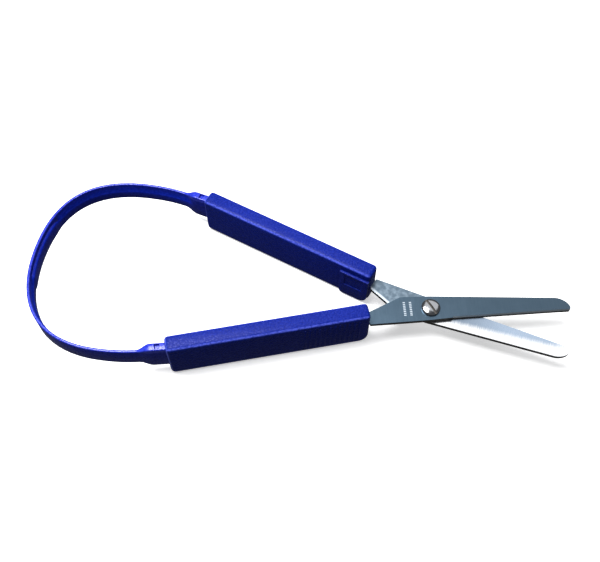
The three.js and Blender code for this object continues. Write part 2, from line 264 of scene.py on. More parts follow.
@dataclass(frozen=True)
class TopHighlight:
    """The upper edge of a band, from a height upwards, where a painted highlight and a glossier finish
    lie.
    """

    height: float
    reach: float = 0.5 * MM

    def mask(self, graph: Graph) -> Wire:
        """1 at the top, 0 below."""
        return graph.axis(graph.place(), "Z").ramp(self.height - self.reach, self.height)


@dataclass(frozen=True)
class EdgeHighlight:
    """Where a bar's rounded edges get a painted highlight and a glossier finish; its front end stands at a
    place, turned about Z.
    """

    turn: float
    front: Vector
    length: float
    half_width: float
    height: float
    reach: float = 1.05 * MM
    full_share: float = 0.4

    def mask(self, graph: Graph) -> Wire:
        """1 on the edges, 0 on the flat faces."""
        place = graph.place(-self.turn, self.front)
        beside = self._near(graph.axis(place, "Y").absolute(), self.half_width)
        above = self._near(graph.axis(place, "Z"), self.height)
        behind = self._near(graph.axis(place, "X") * -1.0, self.length)
        return (beside * above + above * behind + beside * behind).clamped()

    def _near(self, distance: Wire, face: float) -> Wire:
        """Rise from 0 to 1 just before a face is reached."""
        return distance.ramp(face - self.reach, face - self.reach * self.full_share)


@dataclass(frozen=True)
class MouldedPlastic:
    """Blue moulded plastic with a spark-eroded grain.

    Attributes:
        name: the material's name.
        body: colour of the untouched plastic.
        worn: colour of the grain's high places.
        rubbed: painted highlight colour, for the edges that catch the light.
        roughness: mean roughness.
        grain_size: size of the grain's features.
        grain_depth: depth of the grain.
        contrast: how strongly the high places show.
        coat: gloss of the untouched plastic.
        cloud_span: size of the broad unevenness, in grains.
        speck_span: size of the specks, in grains.
        speck_range: noise from which a speck shows, and from which it is full.
        highlight_range: the same for the painted highlight.
        highlight_share: how fully the painted highlight covers the plastic.
    """

    name: str
    body: Colour
    worn: Colour
    rubbed: Colour
    roughness: float
    grain_size: float
    grain_depth: float
    contrast: float
    coat: float
    cloud_span: float = 28.0
    speck_span: float = 0.8
    speck_range: Span = (0.42, 0.66)
    highlight_range: Span = (0.3, 0.6)
    highlight_share: float = 0.85

    def material(self, highlight_zone: EdgeHighlight | TopHighlight) -> bpy.types.Material:
        """Build the material, with a painted highlight and a smoother, glossier finish where the given
        mask says.
        """
        graph = Graph(self.name)
        place = graph.place()
        grain = graph.noise(place, self.grain_size, 3.0)
        cloud = graph.noise(place, self.grain_size * self.cloud_span)
        speck = graph.noise(place, self.grain_size * self.speck_span, 1.0).ramp(*self.speck_range)
        share = (speck - 0.4) * self.contrast + (cloud - 0.5) * 0.4 + (grain - 0.5) * 0.5 + 0.4
        tint = graph.mix(share.clamped(), self.body, self.worn)
        rough = (grain - 0.5) * 0.18 + (cloud - 0.5) * 0.1 + self.roughness
        # Painted highlight: a lighter colour on the masked edges, broken into specks by the grain. These
        # edges are also made smoother and glossier.
        rubbed = highlight_zone.mask(graph) * (grain.ramp(*self.highlight_range) * 0.6 + 0.4)
        tint = graph.mix(rubbed * self.highlight_share, tint, self.rubbed)
        rough = rough - rubbed * 0.1
        coat = speck * 0.1 + rubbed * 0.6 + self.coat
        return graph.surface({
            "Base Color": tint,
            "Roughness": rough,
            "Normal": graph.bump(grain + speck * 0.4, self.grain_depth),
            "IOR": 1.5,
            "Specular IOR Level": 0.07,
            "Coat Weight": coat,
            "Coat Roughness": 0.2,
        })


@dataclass(frozen=True)
class GroundPattern:
    """Grinding on a blade's inner side: a band beside the cutting edge, and a duller shank.

    Places along the blade count from the pivot, and each pair is where a change starts and ends.

    Attributes:
        band: the band's border at the pivot, from the blade's middle line towards the spine.
        band_slope: how fast that border falls towards the cutting edge on the way to the tip.
        band_soft: how far the band fades to either side of its border.
        streak_reach: how far the grinding streaks push that border.
        band_end: where the band fades out before the tip.
        brightening: where the band turns from dull to bright.
        shank_end: where the dull shank gives way to the blade.
        facet: border of the bright strip on the shank's spine, from the blade's middle line.
        facet_slope: how fast that border closes in on the middle line behind the pivot.
        band_dull: the band's colour near the pivot.
        band_bright: the band's colour near the tip.
        shank_dark: the darker of the shank's mottled colours.
        shank_light: the lighter one.
        facet_tint: the bright strip's colour.
    """

    band: float = 3.8 * MM
    band_slope: float = 0.088
    band_soft: Span = (1.6 * MM, 1.2 * MM)
    streak_reach: float = 1.6 * MM
    band_end: Span = (46 * MM, 54 * MM)
    brightening: Span = (8 * MM, 34 * MM)
    shank_end: Span = (-7 * MM, 1 * MM)
    facet: Span = (9.3 * MM, 10.2 * MM)
    facet_slope: float = 0.485
    band_dull: Colour = (0.14, 0.2, 0.28)
    band_bright: Colour = (0.34, 0.44, 0.58)
    shank_dark: Colour = (0.1, 0.14, 0.18)
    shank_light: Colour = (0.2, 0.26, 0.32)
    facet_tint: Colour = (0.6, 0.68, 0.76)

    def masks(self, along: Wire, across: Wire, fine: Wire) -> tuple[Wire, Wire, Wire]:
        """Where the ground band, the shank and the shank's bright strip lie.

        Args:
            along: distance from the pivot towards the tip.
            across: distance from the blade's middle line towards the spine.
            fine: streak noise.

        Returns:
            The three masks, in that order.
        """
        depth = across + along * self.band_slope + fine * self.streak_reach
        inside, outside = self.band_soft
        edge = 1 - depth.ramp(self.band - inside, self.band + outside)
        edge = edge * (1 - along.ramp(*self.band_end))
        shank = 1 - along.ramp(*self.shank_end)
        return edge, shank, (across - along * self.facet_slope).ramp(*self.facet)


@dataclass(frozen=True)
class TickRows:
    """Two rows of plain etched ticks behind the screw, with no lettering.

    Attributes:
        behind: pivot to the middle between the rows.
        apart: from that middle to each row.
        row: half a row's width, outside and inside its soft border.
        pitch: tick to tick.
        tick: half a tick's width, outside and inside its soft border.
        reach: half a row's length, outside and inside its soft border.
    """

    behind: float = 8.9 * MM
    apart: float = 1.2 * MM
    row: Span = (0.5 * MM, 0.4 * MM)
    pitch: float = 0.8 * MM
    tick: Span = (0.26 * MM, 0.16 * MM)
    reach: Span = (3.4 * MM, 3.2 * MM)

    def mask(self, along: Wire, across: Wire) -> Wire:
        """1 on the ticks, 0 beside them."""
        ticks = (across.wrapped(self.pitch) - self.pitch / 2).absolute().ramp(*self.tick)
        rows = ((along + self.behind).absolute() - self.apart).absolute().ramp(*self.row)
        return ticks * rows * across.absolute().ramp(*self.reach)


@dataclass(frozen=True)
class GroundSteel:
    """One side of a blade: satin outside, bright and cross-ground inside."""

    name: str
    plain: Colour
    streak: Colour
    roughness: float
    half: Half
    pivot: Vector
    turn: float
    ground: GroundPattern | None = None
    ticks: TickRows | None = None
    streak_size: float = 0.35 * MM
    streak_stretch: Stretch = (1.0, 0.06, 1.0)
    blotch_size: float = 4 * MM
    mottle_size: float = 2.2 * MM
    mottle_range: Span = (0.38, 0.72)
    streak_depth: float = 0.004 * MM

    def material(self) -> bpy.types.Material:
        """Build the material."""
        graph = Graph(self.name)
        place = graph.place(-self.half.value * self.turn, self.pivot)
        along = graph.axis(place, "X")
        across = graph.axis(place, "Y") * float(self.half.value)
        fine = graph.noise(place, self.streak_size, 2.0, self.streak_stretch)
        blotch = graph.noise(place, self.blotch_size, 2.0)
        tint = graph.mix(fine * 0.55 + blotch * 0.3, self.plain, self.streak)
        rough = (fine - 0.5) * 0.12 + (blotch - 0.5) * 0.12 + self.roughness
        if self.ground:
            edge, shank, facet = self.ground.masks(along, across, fine)
            mottle = graph.noise(place, self.mottle_size, 5.0).ramp(*self.mottle_range)
            bright = along.ramp(*self.ground.brightening)
            band_tint = graph.mix(bright, self.ground.band_dull, self.ground.band_bright)
            dull = graph.mix(mottle, self.ground.shank_dark, self.ground.shank_light)
            shank_tint = graph.mix(facet, dull, self.ground.facet_tint)
            tint = graph.mix(edge * 0.9, tint, band_tint)
            tint = graph.mix(shank * 0.94, tint, shank_tint)
            rough = rough + edge * 0.1 + shank * 0.1
        if self.ticks:
            mark = self.ticks.mask(along, across)
            tint = graph.mix(mark * 0.8, tint, TICK_BRIGHT)
            rough = rough + mark * 0.2
        return graph.surface({
            "Base Color": tint,
            "Roughness": rough,
            "Metallic": 1.0,
            "Normal": graph.bump(fine, self.streak_depth, 0.6),
        })


@dataclass(frozen=True)
class PlatedMetal:
    """Polished or dull bare metal with faint handling marks."""

    name: str
    colour: Colour
    roughness: float
    haze_size: float = 1.2 * MM
    haze_tone: float = 0.72
    scratch_size: float = 0.25 * MM
    scratch_stretch: Stretch = (1.0, 0.1, 1.0)
    scratch_depth: float = 0.003 * MM
    shade_soft: float = 0.1 * MM

    def material(self, painted_shade_below: float | None = None) -> bpy.types.Material:
        """Build the material, with painted shade below a height, if one is given: there it darkens to the
        near-black tone.
        """
        graph = Graph(self.name)
        place = graph.place()
        haze = graph.noise(place, self.haze_size)
        scratch = graph.noise(place, self.scratch_size, 2.0, self.scratch_stretch)
        dull = tuple(part * self.haze_tone for part in self.colour)
        tint = graph.mix(haze * 0.5, self.colour, dull)
        if painted_shade_below is not None:
            shade = graph.axis(place, "Z").ramp(painted_shade_below + self.shade_soft, painted_shade_below - self.shade_soft)
            tint = graph.mix(shade, tint, PAINTED_SHADE_DARK)
        return graph.surface({
            "Base Color": tint,
            "Roughness": scratch * 0.08 + haze * 0.06 + self.roughness,
            "Metallic": 1.0,
            "Normal": graph.bump(scratch, self.scratch_depth, 0.5),
        })


# The third colour of each plastic below is a painted highlight, laid on the edges that catch the light.
GRIP_PLASTIC = MouldedPlastic(
    "grip_blue",
    body=(0.001, 0.008, 0.16),
    worn=(0.01, 0.028, 0.34),
    rubbed=(0.1, 0.14, 0.8),
    roughness=0.36,
    grain_size=0.8 * MM,
    grain_depth=0.16 * MM,
    contrast=0.42,
    coat=0.0,
)
LOOP_PLASTIC = MouldedPlastic(
    "loop_blue",
    body=(0.001, 0.009, 0.24),
    worn=(0.008, 0.026, 0.46),
    rubbed=(0.03, 0.05, 0.56),
    roughness=0.3,
    grain_size=1.1 * MM,
    grain_depth=0.06 * MM,
    contrast=0.4,
    coat=0.15,
)
SCREW_METAL = PlatedMetal("screw_chrome", (0.4, 0.41, 0.43), 0.09)
NUT_METAL = PlatedMetal("nut_plate", (0.6, 0.61, 0.62), 0.28)
# Blade rims and the screw's slot are coloured near-black: painted shade.
RIM_SHADE_METAL = PlatedMetal("blade_rim_shade", PAINTED_SHADE_DARK, 0.38)
BEVEL_METAL = PlatedMetal("blade_bevel", (0.62, 0.7, 0.76), 0.4)


# ---------------------------------------------------------------- mesh helpers


WELD = 1e-7
PACKED_WELD = 2e-6
SAME_PLACE = 1e-6
CUT_REACH = 1e-8
FLAT_LIMIT = math.radians(0.5)
FACING = 0.9
SLANTED = 0.2
LEVEL = 0.99
ALONG = Vector((1.0, 0.0, 0.0))
UP = Vector((0.0, 0.0, 1.0))


def finish_piece(mesh: bmesh.types.BMesh, name: str, sharp_degrees: float = 35.0) -> bpy.types.Object:
    """Turn a bmesh into a smooth-shaded object with sharp edges kept.

    Args:
        mesh: the finished bmesh, freed here.
        name: the piece's name.
        sharp_degrees: edges that bend more than this stay sharp.

    Returns:
        The new object, at the origin.
    """
    bmesh.ops.remove_doubles(mesh, verts=mesh.verts, dist=WELD)
    bmesh.ops.recalc_face_normals(mesh, faces=mesh.faces)
    for face in mesh.faces:
        face.smooth = True
    limit = math.radians(sharp_degrees)
    for edge in mesh.edges:
        edge.smooth = len(edge.link_faces) == 2 and edge.calc_face_angle(0.0) < limit
    data = bpy.data.meshes.new(name)
    mesh.to_mesh(data)
    mesh.free()
    made = bpy.data.objects.new(name, data)
    bpy.context.scene.collection.objects.link(made)
    return made


def bevel_edges(mesh: bmesh.types.BMesh, edges: Iterable, width: float, segments: int) -> None:
    """Round the given edges."""
    bmesh.ops.bevel(
        mesh,
        geom=list(edges),
        offset=width,
        offset_type="OFFSET",
        segments=segments,
        profile=0.5,
        affect="EDGES",
        clamp_overlap=True,
        material=-1,
    )


def add_box(mesh: bmesh.types.BMesh, low: Vector, high: Vector) -> list[bmesh.types.BMVert]:
    """Add a square-edged box between two corners and return its vertices."""
    matrix = Matrix.Translation((low + high) / 2) @ Matrix.Diagonal((*(high - low), 1.0))
    return bmesh.ops.create_cube(mesh, size=1.0, matrix=matrix)["verts"]


def welded_copy(node: bpy.types.Object) -> bmesh.types.BMesh:
    """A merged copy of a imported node's mesh with its flat triangles joined into faces."""
    mesh = bmesh.new()
    mesh.from_mesh(node.data)
    bmesh.ops.remove_doubles(mesh, verts=mesh.verts, dist=PACKED_WELD)
    bmesh.ops.dissolve_limit(
        mesh, angle_limit=FLAT_LIMIT, verts=mesh.verts, edges=mesh.edges, use_dissolve_boundaries=False
    )
    return mesh


def bends_more(edge: bmesh.types.BMEdge, degrees: float) -> bool:
    """True for an edge whose two faces meet at more than the given bend."""
    return len(edge.link_faces) == 2 and edge.calc_face_angle(0.0) > math.radians(degrees)


# ---------------------------------------------------------------- the halves' layout


@dataclass(frozen=True)
class Layout:
    """Where the two halves stand, from the pivot outwards."""

    pivot: Vector
    open_half_angle: float = math.radians(11.45)
    grip_splay: float = math.radians(8.5)
    grip_back: float = 24.5 * MM
    grip_aside: float = 3.8 * MM
    grip_length: float = 77.0 * MM
    grip_width: float = 6.8 * MM
    grip_height: float = 18.6 * MM
    neck_turn: float = math.radians(6.5)

    def pivot_foot(self) -> Vector:
        """The point of the pivot's axis at height 0."""
        return Vector((self.pivot.x, self.pivot.y, 0.0))

    def grip_turn(self, half: Half) -> float:
        """Angle of a grip about Z."""
        return half.value * (self.open_half_angle + self.grip_splay)

    def grip_matrix(self, half: Half) -> Matrix:
        """Place of a grip whose front end is the origin and which runs back along -X."""
        side = half.value
        turned = Matrix.Rotation(side * self.open_half_angle, 4, "Z")
        moved = Matrix.Translation((-self.grip_back, -side * self.grip_aside, 0.0))
        splayed = Matrix.Rotation(side * self.grip_splay, 4, "Z")
        return Matrix.Translation(self.pivot_foot()) @ turned @ moved @ splayed

    def grip_end(self) -> Vector:
        """Middle of the front grip's rear end."""
        return self.grip_matrix(Half.FRONT) @ Vector((-self.grip_length, 0.0, 0.0))

    def neck_angle(self) -> float:
        """Angle of the loop's neck from the middle line."""
        return self.open_half_angle + self.grip_splay - self.neck_turn


# ---------------------------------------------------------------- blades


@dataclass
class Blades:
    """Both steel blades with their ground sides."""

    frame: dict
    layout: Layout
    burr: float = 0.1 * MM
    rim_bend: float = 50.0
    sharp_bend: float = 15.0

    def build(self) -> None:
        """Build and dress both blades."""
        for half in Half:
            self._blade(half)

    def _blade(self, half: Half) -> None:
        """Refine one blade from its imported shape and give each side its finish."""
        node = f"{half.label}_blade"
        mesh = welded_copy(self.frame["nodes"][node])
        rims = [edge for edge in mesh.edges if bends_more(edge, self.rim_bend)]
        bevel_edges(mesh, rims, self.burr, 2)
        blade = finish_piece(mesh, f"{half.label}_blade_steel", self.sharp_bend)
        for finish in self._sides(half):
            blade.data.materials.append(finish.material())
        blade.data.materials.append(RIM_SHADE_METAL.material())
        low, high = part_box(node)
        # The front blade's bevel gets painted shade below mid-height.
        shaded_below = (low.z + high.z) / 2 if half is Half.FRONT else None
        blade.data.materials.append(BEVEL_METAL.material(shaded_below))
        for face in blade.data.polygons:
            face.material_index = self._slot_of(face.normal.z * half.value)
        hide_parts(node)
        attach(blade, half.body)
        LOG.info("built %s", blade.name)

    @staticmethod
    def _slot_of(outwards: float) -> int:
        """Material slot for a face: 0 outside, 1 inside, 2 on the rim, in near-black painted shade, 3 on
        the ground bevel.
        """
        if abs(outwards) > FACING:
            return 0 if outwards > 0 else 1
        return 3 if outwards > SLANTED else 2

    def _sides(self, half: Half) -> tuple[GroundSteel, GroundSteel]:
        """The outer and the inner finish of one blade."""
        turn = self.layout.open_half_angle
        outer = GroundSteel(
            f"{half.label}_blade_outside",
            plain=(0.054, 0.088, 0.124),
            streak=(0.077, 0.115, 0.155),
            roughness=0.34,
            half=half,
            pivot=self.layout.pivot,
            turn=turn,
            ticks=TickRows() if half is Half.FRONT else None,
        )
        inner = GroundSteel(
            f"{half.label}_blade_inside",
            plain=(0.9, 0.92, 0.95),
            streak=(0.97, 0.97, 0.98),
            roughness=0.16,
            half=half,
            pivot=self.layout.pivot,
            turn=turn,
            ground=GroundPattern(),
        )
        return outer, inner


# ---------------------------------------------------------------- pivot


@dataclass
class Pivot:
    """The slotted screw and the nut that holds it."""

    frame: dict
    layout: Layout
    head_radius: float = 3.65 * MM
    rim_height: float = 0.5 * MM
    dome_height: float = 1.1 * MM
    shank_radius: float = 2.0 * MM
    slot_width: float = 0.9 * MM
    slot_depth: float = 0.8 * MM
    slot_angle: float = math.radians(-51)
    slot_margin: float = 0.01 * MM
    nut_edge: float = 0.25 * MM
    nut_bend: float = 40.0
    dome_steps: int = 12
    turn_steps: int = 96

    def build(self) -> None:
        """Build and dress the screw and the nut."""
        self._screw()
        self._nut()

    def _screw(self) -> None:
        """Spin the screw's profile and sink its slot."""
        low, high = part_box("pivot_screw")
        centre = self.layout.pivot_foot()
        rim_top = high.z - self.dome_height
        seat = rim_top - self.rim_height
        mesh = bmesh.new()
        profile = [
            (0.0, low.z),
            (self.shank_radius, low.z),
            (self.shank_radius, seat),
            (self.head_radius, seat),
        ]
        for step in range(self.dome_steps + 1):
            angle = step / self.dome_steps * math.pi / 2
            height = rim_top + self.dome_height * math.sin(angle)
            profile.append((self.head_radius * math.cos(angle), height))
        points = [mesh.verts.new(centre + Vector((radius, 0.0, height))) for radius, height in profile]
        edges = [mesh.edges.new(pair) for pair in zip(points, points[1:])]
        bmesh.ops.spin(
            mesh,
            geom=[*points, *edges],
            cent=centre,
            axis=UP,
            angle=math.tau,
            steps=self.turn_steps,
            use_merge=True,
        )
        bmesh.ops.remove_doubles(mesh, verts=mesh.verts, dist=WELD)
        bmesh.ops.recalc_face_normals(mesh, faces=mesh.faces)
        mesh.normal_update()
        self._sink_slot(mesh, centre, high.z - self.slot_depth)
        screw = finish_piece(mesh, "pivot_screw_chrome")
        # The slot's floor and walls get the near-black metal: painted shade in the slot.
        for metal in (SCREW_METAL, RIM_SHADE_METAL):
            screw.data.materials.append(metal.material())
        for face in screw.data.polygons:
            face.material_index = int(self._in_slot(face, centre, rim_top))
        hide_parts("pivot_screw")
        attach(screw, REAR_BODY)
        LOG.info("built %s", screw.name)

    def _across_slot(self) -> Vector:
        """Direction across the driver slot."""
        return Matrix.Rotation(self.slot_angle, 3, "Z") @ Vector((0.0, 1.0, 0.0))

    def _in_slot(self, face: bpy.types.MeshPolygon, centre: Vector, rim_top: float) -> bool:
        """True for a face of the slot's floor or walls."""
        aside = abs((face.center - centre).dot(self._across_slot()))
        return face.center.z > rim_top and aside < self.slot_width / 2 + self.slot_margin

    def _sink_slot(self, mesh: bmesh.types.BMesh, centre: Vector, floor: float) -> None:
        """Sink the driver slot into the dome.

        Args:
            mesh: the spun screw.
            centre: a point on the screw's axis.
            floor: height of the slot's floor.
        """
        across = self._across_slot()
        reach = self.slot_width / 2
        for side in (-1, 1):
            bmesh.ops.bisect_plane(
                mesh,
                geom=[*mesh.verts, *mesh.edges, *mesh.faces],
                dist=CUT_REACH,
                plane_co=centre + across * side * reach,
                plane_no=across,
            )
        strip = [
            face
            for face in mesh.faces
            if face.normal.z > 0 and abs((face.calc_center_median() - centre).dot(across)) < reach
        ]
        sunk = bmesh.ops.extrude_face_region(mesh, geom=strip)["geom"]
        bmesh.ops.delete(mesh, geom=[face for face in strip if face.is_valid], context="FACES")
        for item in sunk:
            if isinstance(item, bmesh.types.BMVert):
                item.co.z = min(item.co.z, floor)

    def _nut(self) -> None:
        """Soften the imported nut's corners."""
        mesh = welded_copy(self.frame["nodes"]["pivot_nut"])
        corners = [edge for edge in mesh.edges if bends_more(edge, self.nut_bend)]
        bevel_edges(mesh, corners, self.nut_edge, 3)
        nut = finish_piece(mesh, "pivot_nut_steel")
        nut.data.materials.append(NUT_METAL.material())
        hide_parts("pivot_nut")
        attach(nut, REAR_BODY)
        LOG.info("built %s", nut.name)


# ---------------------------------------------------------------- grips


@dataclass
class Grips:
    """Both moulded grips, each with a stop pad inside and ribs outside."""

    layout: Layout
    edge: float = 1.5 * MM
    front_toe: float = 4.0 * MM
    rear_toe: float = 2.2 * MM
    pad_start: float = 0.4 * MM
    pad_length: float = 12.3 * MM
    pad_floor: float = 0.7 * MM
    pad_height: float = 14.5 * MM
    pad_proud: float = 0.95 * MM
    pad_rear_toe: float = 2.0 * MM
    pad_edge: float = 0.5 * MM
    panel_low: float = 7.6 * MM
    panel_high: float = 14.2 * MM
    panel_front: float = 2.9 * MM
    panel_rear: float = 10.6 * MM
    panel_depth: float = 0.25 * MM
    rib_start: float = 3.7 * MM
    rib_pitch: float = 1.9 * MM
    rib_count: int = 12
    rib_width: float = 0.9 * MM
    rib_height: float = 14.0 * MM
    rib_proud: float = 0.24 * MM
    rib_edge: float = 0.28 * MM
    sink: float = 0.5 * MM
    square_bend: float = 60.0
    sharp_bend: float = 45.0

    def build(self) -> None:
        """Build and dress both grips."""
        for half in Half:
            self._grip(half)

    def _grip(self, half: Half) -> None:
        """Build one grip in its own frame, then put it in place."""
        mesh = bmesh.new()
        self._add_bar(mesh)
        self._add_stop_pad(mesh, half)
        for index in range(self.rib_count):
            self._add_rib(mesh, half, index)
        bmesh.ops.transform(mesh, matrix=self.layout.grip_matrix(half), verts=mesh.verts)
        grip = finish_piece(mesh, f"{half.label}_grip_plastic", self.sharp_bend)
        grip.data.materials.append(GRIP_PLASTIC.material(self._highlight_zone(half)))
        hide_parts(f"{half.label}_grip")
        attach(grip, half.body)
        LOG.info("built %s", grip.name)

    def _highlight_zone(self, half: Half) -> EdgeHighlight:
        """The edges of one grip that get the painted highlight."""
        layout = self.layout
        front = layout.grip_matrix(half).to_translation()
        return EdgeHighlight(
            layout.grip_turn(half), front, layout.grip_length, layout.grip_width / 2, layout.grip_height
        )

    def _add_bar(self, mesh: bmesh.types.BMesh) -> None:
        """Add the grip's bar: its lower corners are well rounded, and then all its edges."""
        wide = self.layout.grip_width / 2
        low = Vector((-self.layout.grip_length, -wide, 0.0))
        high = Vector((0.0, wide, self.layout.grip_height))
        add_box(mesh, low, high)
        self._round_toe(mesh, high.x, low.z, self.front_toe)
        self._round_toe(mesh, low.x, low.z, self.rear_toe)
        sharp = [edge for edge in mesh.edges if bends_more(edge, self.square_bend)]
        bevel_edges(mesh, sharp, self.edge, 5)

    @staticmethod
    def _round_toe(mesh: bmesh.types.BMesh, along: float, height: float, radius: float) -> None:
        """Round the edges that run across the grip at one place.

        Args:
            mesh: the mesh with the edges.
            along: their X.
            height: their Z.
            radius: rounding.
        """
        across = [
            edge
            for edge in mesh.edges
            if all(math.hypot(vert.co.x - along, vert.co.z - height) < SAME_PLACE for vert in edge.verts)
        ]
        bevel_edges(mesh, across, radius, 8)

    def _faces(self, side: int, proud: float) -> tuple[float, float]:
        """Lowest and highest Y of something set into the side face and standing proud of it."""
        face = self.layout.grip_width / 2
        ends = (side * (face - self.sink), side * (face + proud))
        return min(ends), max(ends)

    def _add_stop_pad(self, mesh: bmesh.types.BMesh, half: Half) -> None:
        """Add the raised pad that stops the grips when they close, with its shallow panel."""
        low_y, high_y = self._faces(half.value, self.pad_proud)
        low = Vector((-self.pad_start - self.pad_length, low_y, self.pad_floor))
        high = Vector((-self.pad_start, high_y, self.pad_floor + self.pad_height))
        pad = bmesh.new()
        add_box(pad, low, high)
        self._round_toe(pad, high.x, low.z, self.front_toe)
        self._round_toe(pad, low.x, low.z, self.pad_rear_toe)
        self._sink_panel(pad, half)
        rims = [edge for edge in pad.edges if self._is_pad_rim(edge, half)]
        bevel_edges(pad, rims, self.pad_edge, 3)
        data = bpy.data.meshes.new("pad")
        pad.to_mesh(data)
        pad.free()
        mesh.from_mesh(data)
        bpy.data.meshes.remove(data)

    def _sink_panel(self, pad: bmesh.types.BMesh, half: Half) -> None:
        """Cut the panel's outline across the pad and sink it into the proud face."""
        low = Vector((-self.panel_rear, 0.0, self.panel_low))
        high = Vector((-self.panel_front, 0.0, self.panel_high))
        for place, normal in ((high, ALONG), (low, ALONG), (low, UP), (high, UP)):
            bmesh.ops.bisect_plane(
                pad,
                geom=[*pad.verts, *pad.edges, *pad.faces],
                dist=CUT_REACH,
                plane_co=place,
                plane_no=normal,
            )
        middle = (low + high) / 2
        front = [face for face in pad.faces if face.normal.y * half.value > FACING]
        panel = min(front, key=lambda face: (face.calc_center_median() - middle).xz.length)
        bmesh.ops.inset_region(pad, faces=[panel], thickness=self.panel_depth)
        bmesh.ops.translate(pad, verts=panel.verts, vec=(0.0, -half.value * self.panel_depth, 0.0))

    def _is_pad_rim(self, edge: bmesh.types.BMEdge, half: Half) -> bool:
        """True for an edge between the pad's proud face and one of its flanks."""
        proud = [face for face in edge.link_faces if face.normal.y * half.value > FACING]
        return len(proud) == 1 and bends_more(edge, self.square_bend)

    def _add_rib(self, mesh: bmesh.types.BMesh, half: Half, index: int) -> None:
        """Add one of the fine ribs on the outer face."""
        low_y, high_y = self._faces(-half.value, self.rib_proud)
        front = -self.rib_start - index * self.rib_pitch
        middle = self.layout.grip_height / 2
        low = Vector((front - self.rib_width, low_y, middle - self.rib_height / 2))
        high = Vector((front, high_y, middle + self.rib_height / 2))
        edges = {edge for corner in add_box(mesh, low, high) for edge in corner.link_edges}
        bevel_edges(mesh, edges, self.rib_edge, 2)


# ---------------------------------------------------------------- loop spring


@dataclass(frozen=True)
class Station:
    """The band's section at one place.

    Attributes:
        centre: middle of the band.
        outer: sideways direction, away from the inside of the loop.
        neck: 1 on the neck, falling to 0 on the band.
        pad: 1 on the thicker pad at the back, 0 elsewhere.
    """

    centre: Vector
    outer: Vector
    neck: float
    pad: float


